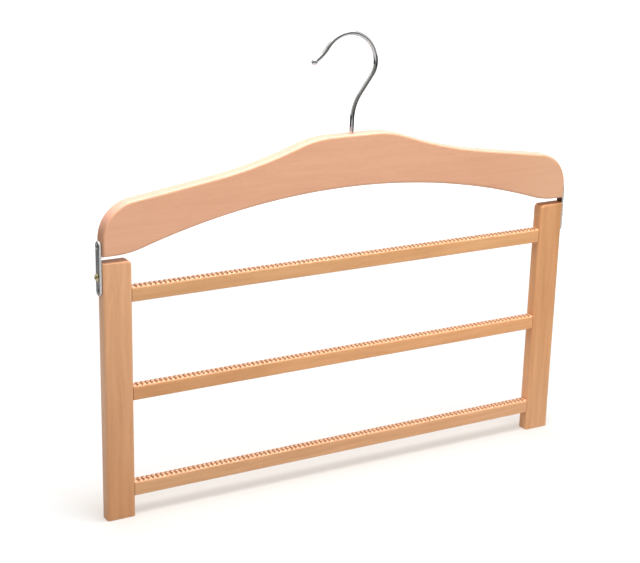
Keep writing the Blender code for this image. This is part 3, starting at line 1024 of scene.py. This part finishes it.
@dataclass
class Arm:
    """The shaped board that carries the hook, with the straps' pins in its ends."""

    finish: WoodFinish
    pin: Fastener
    edge_radius: float = 2.0 * MM
    crown_half_width: float = 20.0 * MM
    crown_radius: float = 92.0 * MM
    flank_radius: float = 420.0 * MM
    flank_slope: float = math.radians(19.5)
    shoulder_slope: float = math.radians(8.4)
    end_radius: float = 30.5 * MM
    arch_height: float = 33.1 * MM
    arch_foot_length: float = 9.8 * MM
    arch_foot_radius: float = 80.0 * MM
    hook_bore_radius: float = 2.15 * MM
    hook_bore_depth: float = 22.3 * MM
    pin_bore_radius: float = 1.8 * MM
    pin_bore_depth: float = 14.3 * MM

    def outline(self, half_width: float, height: float) -> list[Point2]:
        """Outline of the arm, from the top middle round to the right and back.

        Args:
            half_width: Half the length of the arm.
            height: Height of the crown above the flat ends.

        Returns:
            Points in X and height above the flat ends.
        """
        crown_end = self.crown_half_width + self.crown_radius * math.sin(self.flank_slope)
        crown_drop = self.crown_radius * (1 - math.cos(self.flank_slope))
        crown = arc((self.crown_half_width, height - self.crown_radius), self.crown_radius,
                    QUARTER_TURN, QUARTER_TURN - self.flank_slope, 20)
        flank_centre = (crown_end + self.flank_radius * math.sin(self.flank_slope),
                        height - crown_drop + self.flank_radius * math.cos(self.flank_slope))
        flank = arc(flank_centre, self.flank_radius, 3 * QUARTER_TURN - self.flank_slope,
                    3 * QUARTER_TURN - self.shoulder_slope, 30)
        end_x = half_width - self.end_radius
        run = end_x + self.end_radius * math.sin(self.shoulder_slope) - flank[-1][0]
        end_z = flank[-1][1] - run * math.tan(self.shoulder_slope) - self.end_radius * math.cos(self.shoulder_slope)
        end = arc((end_x, end_z), self.end_radius, QUARTER_TURN - self.shoulder_slope, 0.0, 32)
        foot_x = half_width - self.arch_foot_length
        reach = self.arch_foot_radius
        arch_radius = (foot_x ** 2 + self.arch_height ** 2) / (2 * self.arch_height) - reach
        lean = math.asin(foot_x / (arch_radius + reach))
        foot = arc((foot_x, reach), reach, 3 * QUARTER_TURN, 3 * QUARTER_TURN - lean, 18)
        arch = arc((0.0, self.arch_height - arch_radius), arch_radius, QUARTER_TURN - lean, QUARTER_TURN, 60)
        right = crown + flank[1:] + end + [(half_width, 0.0)] + foot + arch[1:-1]
        left = [(-across, up) for across, up in reversed(right)]
        return right + [arch[-1]] + left

    def build(self) -> None:
        """Build the arm and its pins, and dress them."""
        low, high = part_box("arm")
        outline = [(across, low.z + up) for across, up in self.outline(high.x, high.z - low.z)]
        arm = Board("shaped_arm", outline, high.y - low.y, self.edge_radius).build()
        cutters = [rod((0.0, 0.0, high.z), self.hook_bore_radius, 2 * self.hook_bore_depth, Axis.Z)]
        for side in Side:
            mouth = (side.value * high.x, 0.0, self.pin.level)
            cutters.append(rod(mouth, self.pin_bore_radius, 2 * self.pin_bore_depth, Axis.X))
        shade(cut(arm, cutters))
        dress(arm, self.finish.build(), "arm", "arm_wood", "arm")
        material = self.pin.finish.build()
        for side in Side:
            self.pin.build(side, "arm", material)


@dataclass
class SwingFrame:
    """The posts and the notched rungs between them.

    The bores are given as height, radius and depth.
    """

    post_finishes: dict[Side, WoodFinish]
    rung_finishes: dict[Rung, WoodFinish]
    bores: tuple[Point3, ...]
    post_edge_radius: float = 2.0 * MM
    post_corner_radius: float = 4.0 * MM
    seat_gap: float = 0.3 * MM
    rung_depth: float = 9.4 * MM
    rung_top_radius: float = 2.4 * MM
    rung_bottom_radius: float = 0.8 * MM
    notch_pitch: float = 4.18 * MM
    notch_width: float = 2.2 * MM
    notch_floor: float = 0.9 * MM
    notch_depth: float = 1.2 * MM
    notch_count: int = 94
    notch_play: float = 0.07
    tenon_length: float = 12.0 * MM
    tenon_thickness: float = 5.0 * MM
    tenon_shoulder: float = 1.5 * MM

    def build_post(self, side: Side) -> bpy.types.Object:
        """Build one post, with a mortise for each rung and bores for the strap's fasteners.

        Args:
            side: Which post it is.

        Returns:
            The post as an object with its place in its mesh.
        """
        low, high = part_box(f"{side.label}_post")
        inner, outer = (low.x, high.x) if side is Side.RIGHT else (high.x, low.x)
        corner = (inner + side.value * self.post_corner_radius, high.z - self.post_corner_radius)
        turned = QUARTER_TURN + side.value * QUARTER_TURN
        rounding = arc(corner, self.post_corner_radius, QUARTER_TURN, turned, 12)
        outline = [(outer, high.z)] + rounding + [(inner, 0.0), (outer, 0.0)]
        post = Board(f"{side.label}_upright", outline, high.y - low.y, self.post_edge_radius,
                     crisp=frozenset({len(outline) - 2})).build()
        cutters = []
        for rung in Rung:
            bottom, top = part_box(rung.value)
            size = Vector((2 * (self.tenon_length + self.seat_gap), self.tenon_thickness + 2 * self.seat_gap,
                           top.z - bottom.z - 2 * self.tenon_shoulder + 2 * self.seat_gap))
            cutters.append(block((inner, 0.0, (bottom.z + top.z) / 2), size))
        for level, radius, depth in self.bores:
            cutters.append(rod((outer, 0.0, level), radius, 2 * depth, Axis.X))
        return shade(cut(post, cutters))

    def rung_tree(self) -> bpy.types.NodeTree:
        """Build the tree that draws a rung: its section, its notches by their pitch and its tenons.

        The rung is swept along X through one ring of points for each change of section. Rings 0, 1 and the last two
        are the tenons', ring 2 and its opposite are the shoulders', and each notch has four rings between them.

        Returns:
            The tree.
        """
        maker, ins = start_group("notched_rung", "GeometryNodeTree", {
            "Geometry": "Geometry", "Length": 0.4, "Depth": self.rung_depth, "Height": 0.012, "Level": 0.0,
            "Top Radius": self.rung_top_radius, "Bottom Radius": self.rung_bottom_radius,
            "Notch Count": self.notch_count, "Notch Pitch": self.notch_pitch, "Notch Width": self.notch_width,
            "Notch Floor": self.notch_floor, "Notch Depth": self.notch_depth, "Notch Play": self.notch_play,
            "Tenon Length": self.tenon_length, "Tenon Thickness": self.tenon_thickness,
            "Tenon Shoulder": self.tenon_shoulder, "Seed": 1, "Material": "Material"})
        count = ins["Notch Count"] * NOTCH_RINGS + 2 * END_RINGS
        index = maker.add("GeometryNodeInputIndex")
        step = index - END_RINGS
        notch = maker.math("FLOOR", step * (1 / NOTCH_RINGS))
        part = step - notch * NOTCH_RINGS
        # Of a notch's rings, 0 and 3 lie at its mouth, and 1 and 2 on its floor.
        on_floor = abs(part - 1.5).below(0.6)
        wobble = maker.add("FunctionNodeRandomValue", {"data_type": "FLOAT"}, ID=notch, Seed=ins["Seed"],
                           i2=ins["Notch Play"] * -1.0, i3=ins["Notch Play"])[1]
        first = (ins["Notch Count"] - 1.0) * (ins["Notch Pitch"] * -0.5)
        half_width = on_floor.choose(ins["Notch Floor"], ins["Notch Width"]) * 0.5
        flank = half_width * (part.above(1.5) * 2.0 - 1.0)
        x_notch = first + notch * ins["Notch Pitch"] + flank + wobble * ins["Notch Floor"]
        last = count - 1.0
        # Counted from the nearer end, ring 0 is the tenon's tip, 1 its root and 2 the shoulder.
        is_end, is_tenon, is_tip = (index.at_most(last - index).below(limit) for limit in (2.5, 1.5, 0.5))
        sign = index.above(last * 0.5) * 2.0 - 1.0
        reach = ins["Length"] * 0.5 + is_tip * ins["Tenon Length"] + is_tenon * SHOULDER_STEP
        x = is_end.choose(reach * sign, x_notch)
        # The line only carries the rings, so its own length doesn't matter.
        line = maker.add("GeometryNodeCurvePrimitiveLine", Start=(-1.0, 0.0, 0.0), End=(1.0, 0.0, 0.0))
        rings = maker.add("GeometryNodeSetPosition", Position=maker.add("ShaderNodeCombineXYZ", X=x),
                          Geometry=maker.add("GeometryNodeResampleCurve", Curve=line, Count=count))
        rings = maker.mark(rings, "drop", on_floor * (1.0 - is_end) * (wobble + 1.0))
        rings = maker.mark(rings, "tenon", is_tenon)

        section = maker.add("GeometryNodeCurvePrimitiveQuadrilateral", {"mode": "RECTANGLE"}, Width=ins["Depth"],
                            Height=ins["Height"])
        upper = maker.add("GeometryNodeInputPosition").split()[1].below(0.0)
        rounded = maker.add("GeometryNodeFilletCurve", {"mode": "POLY"}, Curve=section, Count=6, Limit_Radius=True,
                            Radius=upper.choose(ins["Top Radius"], ins["Bottom Radius"]))
        bar = maker.add("GeometryNodeCurveToMesh", Curve=rings, Profile_Curve=rounded, Fill_Caps=True)

        spot = maker.add("GeometryNodeInputPosition").split()
        drop, tenon = (maker.recall(label) for label in ("drop", "tenon"))
        half_height, half_depth = (ins[label] * 0.5 for label in ("Height", "Depth"))
        floor = half_height - ins["Notch Depth"] * drop
        limit_z = half_height - ins["Tenon Shoulder"] * tenon
        limit_y = half_depth - (half_depth - ins["Tenon Thickness"] * 0.5) * tenon
        z = spot[2].at_most(floor).at_most(limit_z).at_least(limit_z * -1.0) + (ins["Level"] + half_height)
        y = spot[1].at_most(limit_y).at_least(limit_y * -1.0)
        bar = maker.mark(bar, "notch", spot[2].above(floor) * drop.above(0.5))
        bar = maker.add("GeometryNodeSetPosition", Geometry=bar,
                        Position=maker.add("ShaderNodeCombineXYZ", X=spot, Y=y, Z=z))
        bar = maker.add("GeometryNodeMergeByDistance", Geometry=bar, Distance=WELD_GAP)
        return maker.close_shape(bar, ins["Material"])

    def build(self) -> None:
        """Build the posts and rungs, and dress them."""
        for side in Side:
            dress(self.build_post(side), self.post_finishes[side].build(), "frame", "frame_wood",
                  f"{side.label}_post")
        tree = self.rung_tree()
        for seed, rung in enumerate(Rung, 1):
            low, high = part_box(rung.value)
            material = self.rung_finishes[rung].build()
            item = new_object(f"notched_{rung.value}", bpy.data.meshes.new(rung.value))
            run_tree(item, tree, Length=2 * (high.x - self.tenon_length), Height=high.z - low.z, Level=low.z,
                     Seed=seed, Material=material)
            dress(shade(item), material, "frame", "frame_wood", rung.value)


@dataclass
class StrapSet:
    """The steel straps with the screws and nails that hold them to the posts."""

    finish: MetalFinish
    screw: Fastener
    nail: Fastener
    pin: Fastener
    edge_radius: float = 0.35 * MM
    hole_gap: float = 0.3 * MM
    hole_length: float = 8.0 * MM

    def build(self) -> None:
        """Build the straps, screws and nails, and dress them."""
        steel, zinc, bright = (finish.build() for finish in (self.finish, self.screw.finish, self.nail.finish))
        for side in Side:
            low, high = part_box(f"{side.label}_strap")
            middle = (low.x + high.x) / 2
            radius = (high.y - low.y) / 2
            outline = (arc((0.0, high.z - radius), radius, 0.0, math.pi, 28)
                       + arc((0.0, low.z + radius), radius, math.pi, 2 * math.pi, 28))
            strap = Board(f"{side.label}_link", outline, high.x - low.x, self.edge_radius, Axis.X, middle, 3).build()
            shade(cut(strap, [rod((middle, 0.0, part.level), part.radius + self.hole_gap, self.hole_length, Axis.X)
                              for part in (self.pin, self.screw, self.nail)]))
            dress(strap, steel, "frame", "steel", f"{side.label}_strap")
            self.screw.build(side, "frame", zinc)
            self.nail.build(side, "frame", bright)


@dataclass(frozen=True)
class Lamp:
    """A soft box.

    Attributes:
        name: Name of the lamp.
        place: Where it hangs.
        target: What it points at.
        size: Its width and height.
        power: Its power in watts.
        mirrored: Whether polished surfaces show it.
    """

    name: str
    place: Point3
    target: Point3
    size: tuple[float, float]
    power: float
    mirrored: bool = True

    def build(self) -> None:
        """Hang the lamp."""
        light = bpy.data.lights.new(self.name, "AREA")
        light.shape = "RECTANGLE"
        light.size, light.size_y = self.size
        light.energy = self.power
        item = bpy.data.objects.new(self.name, light)
        item.location = self.place
        aim = Vector(self.target) - Vector(self.place)
        item.rotation_euler = aim.to_track_quat("-Z", "Y").to_euler()
        item.visible_glossy = self.mirrored
        bpy.context.scene.collection.objects.link(item)


@dataclass
class Studio:
    """The camera, the lamps, the white floor and the white room around them."""

    camera_place: Point3 = (-0.629278, -1.046168, 0.563905)
    yaw: float = math.radians(29.95)
    pitch: float = math.radians(17.793)
    roll: float = math.radians(1.439)
    lens: float = 84.789
    sensor_width: float = 36.0
    floor_half: float = 6.0
    floor_level: float = -0.05 * MM
    floor_colour: Colour = (0.445, 0.445, 0.445)
    floor_glow: float = 0.40
    floor_mirrored: float = 0.35
    floor_near_dark: float = 0.22
    floor_far_dark: float = 0.88
    # Painted bounce light: the colour of the floor's glow close to the hanger, which warms its shadow.
    painted_bounce_tint: Colour = (0.935, 0.83, 0.725)
    far_glow: Colour = (1.0, 0.998, 0.99)
    front_glow: Colour = (1.0, 0.98, 0.87)
    front_dark: float = 0.78
    back_dark: float = 0.38
    room_light: float = 0.54
    lamps: tuple[Lamp, ...] = (
        Lamp("overhead_box", (0.10, 0.15, 1.35), (0.0, 0.0, 0.2), (1.3, 1.0), 8.2),
        Lamp("near_overhead_box", (0.0, -0.20, 1.04), (0.0, -0.02, 0.1), (1.0, 0.45), 10.8, mirrored=False),
        Lamp("front_box", (0.55, -1.30, 1.25), (0.0, 0.0, 0.22), (1.4, 1.0), 2.9, mirrored=False),
    )

    def aim_camera(self) -> None:
        """Set the camera up where the photograph was taken from."""
        ahead = Vector((math.sin(self.yaw) * math.cos(self.pitch), math.cos(self.yaw) * math.cos(self.pitch),
                        -math.sin(self.pitch)))
        level = Vector((math.cos(self.yaw), -math.sin(self.yaw), 0.0))
        upright = level.cross(ahead)
        right = level * math.cos(self.roll) + upright * math.sin(self.roll)
        up = upright * math.cos(self.roll) - level * math.sin(self.roll)
        data = bpy.data.cameras.new("camera")
        data.sensor_width = self.sensor_width
        data.lens = self.lens
        data.clip_start = 0.01
        camera = bpy.data.objects.new("camera", data)
        turn = Matrix((right, up, -ahead)).transposed().to_4x4()
        camera.matrix_world = Matrix.Translation(self.camera_place) @ turn
        bpy.context.scene.collection.objects.link(camera)
        bpy.context.scene.camera = camera

    def lay_floor(self) -> None:
        """Lay the floor, which is white to the camera and keeps the hanger's shadow, warmed there by painted bounce
        light.
        """
        half, level = self.floor_half, self.floor_level
        mesh = bpy.data.meshes.new("floor")
        mesh.from_pydata([(-half, -half, level), (half, -half, level), (half, half, level), (-half, half, level)],
                         [], [(0, 1, 2, 3)])
        floor = new_object("floor", mesh)
        material, maker, shader = start_material("white_floor")
        material.node_tree.nodes.remove(shader)
        place = maker.add("ShaderNodeNewGeometry")["Position"]
        beside = abs(place.dot((math.cos(self.yaw), -math.sin(self.yaw), 0.0)))
        towards_camera = place.dot((-math.sin(self.yaw), -math.cos(self.yaw), 0.0))
        sheet = beside.ramp(0.50, 0.80, 1.0, 0.0)
        from_middle = maker.vector("LENGTH", place).ramp(0.35, 1.20)
        parts = place.split()
        off_hanger = abs(parts[1]).ramp(0.01, 0.10).at_least(abs(parts).ramp(0.21, 0.26))
        rays = maker.add("ShaderNodeLightPath")
        glossy = rays["Is Glossy Ray"]
        shown = rays["Is Camera Ray"].at_least(rays["Is Transmission Ray"])
        shown = shown.at_least(glossy * sheet * self.floor_mirrored)
        strength = shown * (from_middle * (1.0 - self.floor_glow) + self.floor_glow)
        # Painted bounce light: close to the hanger the glow is warm, which warms its shadow.
        glow = maker.add("ShaderNodeEmission", Color=maker.blend(off_hanger, self.painted_bounce_tint, self.far_glow),
                         Strength=strength)
        beyond = towards_camera.ramp(1.1, 1.9).at_least(beside.ramp(0.95, 1.35))
        dark = (0.5 - sheet * 0.5).at_least(self.floor_near_dark).at_least(beyond * self.floor_far_dark)
        tone = maker.add("ShaderNodeVectorMath", {"operation": "SCALE"}, i0=self.floor_colour, i3=1.0 - glossy * dark)
        matt = maker.add("ShaderNodeBsdfDiffuse", Color=tone)
        maker.fill(material.node_tree.nodes["Material Output"],
                   Surface=maker.add("ShaderNodeAddShader", i0=matt, i1=glow))
        mesh.materials.append(material)

    def light_room(self) -> None:
        """Make the room white where it is seen and softly bright where it lights."""
        world = bpy.data.worlds.new("white_room")
        world.use_nodes = True
        bpy.context.scene.world = world
        maker = NodeMaker(world.node_tree)
        rays = maker.add("ShaderNodeLightPath")
        glossy = rays["Is Glossy Ray"]
        seen = rays["Is Camera Ray"].at_least(glossy).at_least(rays["Is Transmission Ray"])
        heading = maker.add("ShaderNodeTexCoord")["Generated"]
        towards_camera = heading.dot((-math.sin(self.yaw), -math.cos(self.yaw), 0.0))
        rise = heading.split()[2]
        front = towards_camera.ramp(0.0, 0.28) * rise.ramp(0.60, 0.78, 1.0, 0.0)
        band = rise.ramp(-0.05, 0.10) * rise.ramp(0.86, 0.95, 1.0, 0.0)
        back = towards_camera.ramp(-0.25, 0.05, 1.0, 0.0) * band
        darker = (front * self.front_dark).at_least(back * self.back_dark)
        maker.fill(world.node_tree.nodes["Background"], Strength=seen.choose(1.0 - darker * glossy, self.room_light),
                   Color=maker.blend(front * glossy, WHITE, self.front_glow))

    def build(self) -> None:
        """Set up the studio."""
        bpy.context.scene.view_settings.view_transform = "Standard"
        self.aim_camera()
        self.lay_floor()
        self.light_room()
        for lamp in self.lamps:
            lamp.build()


def wood_finishes() -> tuple[WoodFinish, dict[Side, WoodFinish], dict[Rung, WoodFinish]]:
    """Choose the wood of each piece.

    Returns:
        The finish of the arm, those of the posts and those of the rungs.
    """
    # The arm's drift is painted shade over all but its right end, and its top tint is painted light.
    arm = WoodFinish("arm_beech", (0.912, 0.523, 0.321), (0.847, 0.465, 0.276), Axis.X, (0.0, 0.0, 0.0),
                     flecks=0.10, end_start=0.40, crest=0.9, rubbed=(0.87, 0.435, 0.31),
                     drift=(0.943, 0.877, 0.87), span=(0.13, 0.215))
    # The left post's drift is painted shade, browner towards its foot; the right post's is painted light, lighter and
    # bluer near its foot.
    posts = {
        Side.LEFT: WoodFinish("left_post_beech", (0.915, 0.497, 0.263), (0.73, 0.359, 0.165), Axis.Z,
                              (0.7, 0.31, 0.12), drift=(0.79, 0.69, 0.54), span=(0.0, 0.21)),
        Side.RIGHT: WoodFinish("right_post_beech", (0.868, 0.437, 0.196), (0.69, 0.315, 0.122), Axis.Z,
                               (1.9, 0.57, 0.41), gloss=0.35, drift=(1.04, 1.08, 1.18), span=(0.0, 0.12)),
    }
    # Each rung's third colour is its drift, painted shade darkening it towards its left end. Its top tint is painted
    # light and the dark line along its top painted shade.
    woods = {
        Rung.TOP: ((0.935, 0.495, 0.222), (0.765, 0.37, 0.14), (0.85, 0.85, 0.84)),
        Rung.MIDDLE: ((0.92, 0.45, 0.187), (0.745, 0.336, 0.116), (0.85, 0.85, 0.84)),
        Rung.BOTTOM: ((0.935, 0.505, 0.26), (0.76, 0.376, 0.166), (0.815, 0.80, 0.73)),
    }
    rungs = {
        rung: WoodFinish(f"{rung.value}_beech", pale, dark, Axis.X, (2.3 + 0.9 * index, 0.2, 0.6), crest=0.6,
                         drift=drift, seam=0.92)
        for index, (rung, (pale, dark, drift)) in enumerate(woods.items())
    }
    return arm, posts, rungs


def main() -> None:
    """Build the hanger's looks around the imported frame."""
    logging.basicConfig(level=logging.INFO, format="%(name)s %(message)s")
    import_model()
    Studio().build()

    chrome = MetalFinish("hook_chrome", (0.80, 0.80, 0.82), (0.60, 0.59, 0.58), 0.045, 0.06, 0.15, 0.25,
                         attribute="wire_place")
    steel = MetalFinish("strap_steel", (0.42, 0.42, 0.43), (0.26, 0.255, 0.25), 0.26, 0.12, 0.4, 0.5, Axis.X)
    bright = MetalFinish("pin_steel", (0.50, 0.50, 0.51), (0.30, 0.29, 0.28), 0.20, 0.10, 0.3, 0.4)
    zinc = MetalFinish("screw_zinc", (0.78, 0.66, 0.38), (0.55, 0.50, 0.30), 0.20, 0.10, 0.3, 0.6)
    arm_wood, posts, rungs = wood_finishes()

    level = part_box("left_strap")[1].z - PIVOT_DROP
    pin = Fastener("pivot_pin", bright, "steel", 2.8 * MM, 1.0 * MM, 1.5 * MM, 16.6 * MM, 0.75 * MM, level)
    screw = Fastener("strap_screw", zinc, "yellow_zinc", 3.3 * MM, 2.18 * MM, 1.5 * MM, 16.6 * MM, 3.0 * MM,
                     level - SCREW_DROP, True)
    nail = Fastener("strap_nail", bright, "steel", 1.8 * MM, 0.5 * MM, 0.9 * MM, 11.1 * MM, 1.5 * MM,
                    level - NAIL_DROP)
    bores = ((screw.level, 1.8 * MM, 14.3 * MM), (nail.level, 1.2 * MM, 8.8 * MM))

    Hook(chrome).build()
    Arm(arm_wood, pin).build()
    SwingFrame(posts, rungs, bores).build()
    StrapSet(steel, screw, nail, pin).build()


if __name__ == "__main__":
    main()
